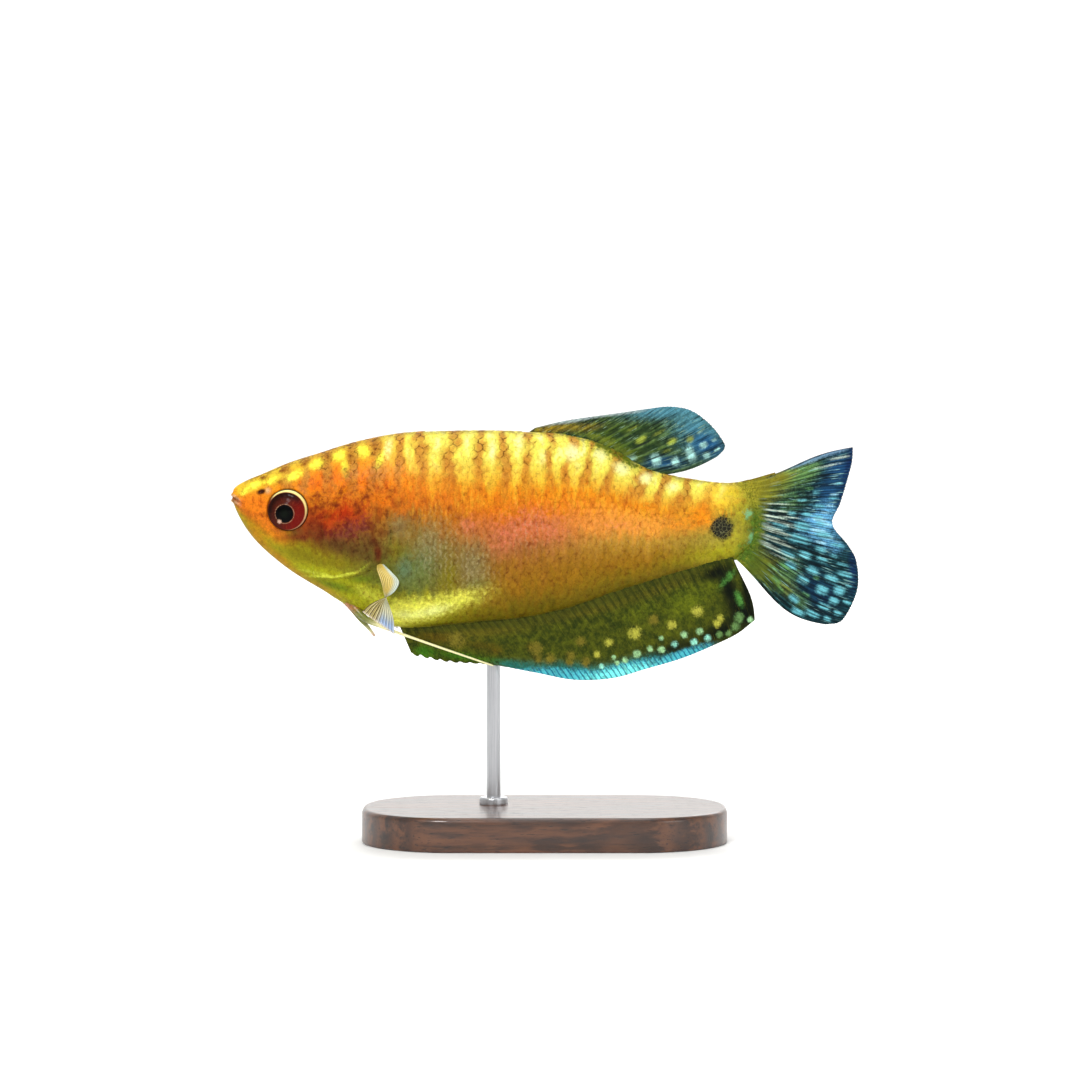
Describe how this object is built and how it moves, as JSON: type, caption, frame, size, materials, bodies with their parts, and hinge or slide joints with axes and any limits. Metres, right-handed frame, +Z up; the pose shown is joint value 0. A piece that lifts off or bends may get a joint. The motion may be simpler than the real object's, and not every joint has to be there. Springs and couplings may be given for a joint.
{
  "type": "gold gourami fish model",
  "caption": "Still life-size model of a gold gourami swimming level, with long thread-like pelvic fins, held by one thin rod on a plain display base.",
  "frame": {"origin": "middle of the stand's underside, on the surface that it stands on", "axes": "-X the way the fish faces, +X towards its tail, -Y its left flank, +Z up"},
  "size_m": [0.11, 0.036, 0.0762],
  "materials": {
    "skin": "satin, painted with scales, golden orange with yellow bands on the back",
    "eye": "high gloss, dark red iris with a black pupil and a cream ring",
    "fin": "satin, dark olive to blue-black with pale spots",
    "clear_fin": "thin and partly see-through, orange rays",
    "thread": "satin, cream yellow",
    "base": "dark satin varnish",
    "rod": "brushed"
  },
  "bodies": {
    "root": {"head": "skin", "lower_jaw": "skin", "gill_cover_left": "skin", "gill_cover_right": "skin", "torso": "skin", "tail_stalk": "skin", "eye_left": "eye", "eye_right": "eye", "dorsal_fin": "fin", "anal_fin": "fin", "tail_fin": "fin", "pectoral_fin_left": "clear_fin", "pectoral_fin_right": "clear_fin", "pelvic_fin_left": "thread", "pelvic_fin_right": "thread", "pelvic_thread_left": "thread", "pelvic_thread_right": "thread", "stand_base": "base", "stand_rod": "rod"}
  },
  "joints": []
}
